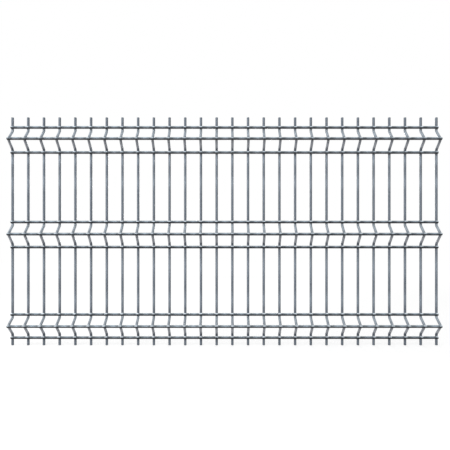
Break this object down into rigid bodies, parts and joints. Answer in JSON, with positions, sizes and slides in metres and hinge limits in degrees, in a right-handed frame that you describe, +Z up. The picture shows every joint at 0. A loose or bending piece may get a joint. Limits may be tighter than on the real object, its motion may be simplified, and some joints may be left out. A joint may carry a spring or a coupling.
{
  "type": "welded mesh fence panel",
  "caption": "Rigid welded wire mesh panel with V-pleated uprights and straight rails across their front, hung between posts as a fence or site barrier.",
  "frame": {"origin": "under the middle of the panel's box, level with the lower wire tips", "axes": "+Z up, +X along the rails to the right seen from the front, pleats and rails towards -Y"},
  "size_m": [2.037, 0.0614, 1.0875],
  "materials": {
    "upright_wire": "galvanised, satin blue-grey zinc",
    "rail_wire": "galvanised, satin blue-grey zinc"
  },
  "bodies": {
    "root": {"upright_01": "upright_wire", "upright_02": "upright_wire", "upright_03": "upright_wire", "upright_04": "upright_wire", "upright_05": "upright_wire", "upright_06": "upright_wire", "upright_07": "upright_wire", "upright_08": "upright_wire", "upright_09": "upright_wire", "upright_10": "upright_wire", "upright_11": "upright_wire", "upright_12": "upright_wire", "upright_13": "upright_wire", "upright_14": "upright_wire", "upright_15": "upright_wire", "upright_16": "upright_wire", "upright_17": "upright_wire", "upright_18": "upright_wire", "upright_19": "upright_wire", "upright_20": "upright_wire", "upright_21": "upright_wire", "upright_22": "upright_wire", "upright_23": "upright_wire", "upright_24": "upright_wire", "upright_25": "upright_wire", "upright_26": "upright_wire", "upright_27": "upright_wire", "upright_28": "upright_wire", "bottom_pleat_lower_rail": "rail_wire", "bottom_pleat_crest_rail": "rail_wire", "bottom_pleat_upper_rail": "rail_wire", "middle_pleat_lower_rail": "rail_wire", "middle_pleat_crest_rail": "rail_wire", "middle_pleat_upper_rail": "rail_wire", "top_pleat_lower_rail": "rail_wire", "top_pleat_crest_rail": "rail_wire", "top_pleat_upper_rail": "rail_wire"}
  },
  "joints": []
}
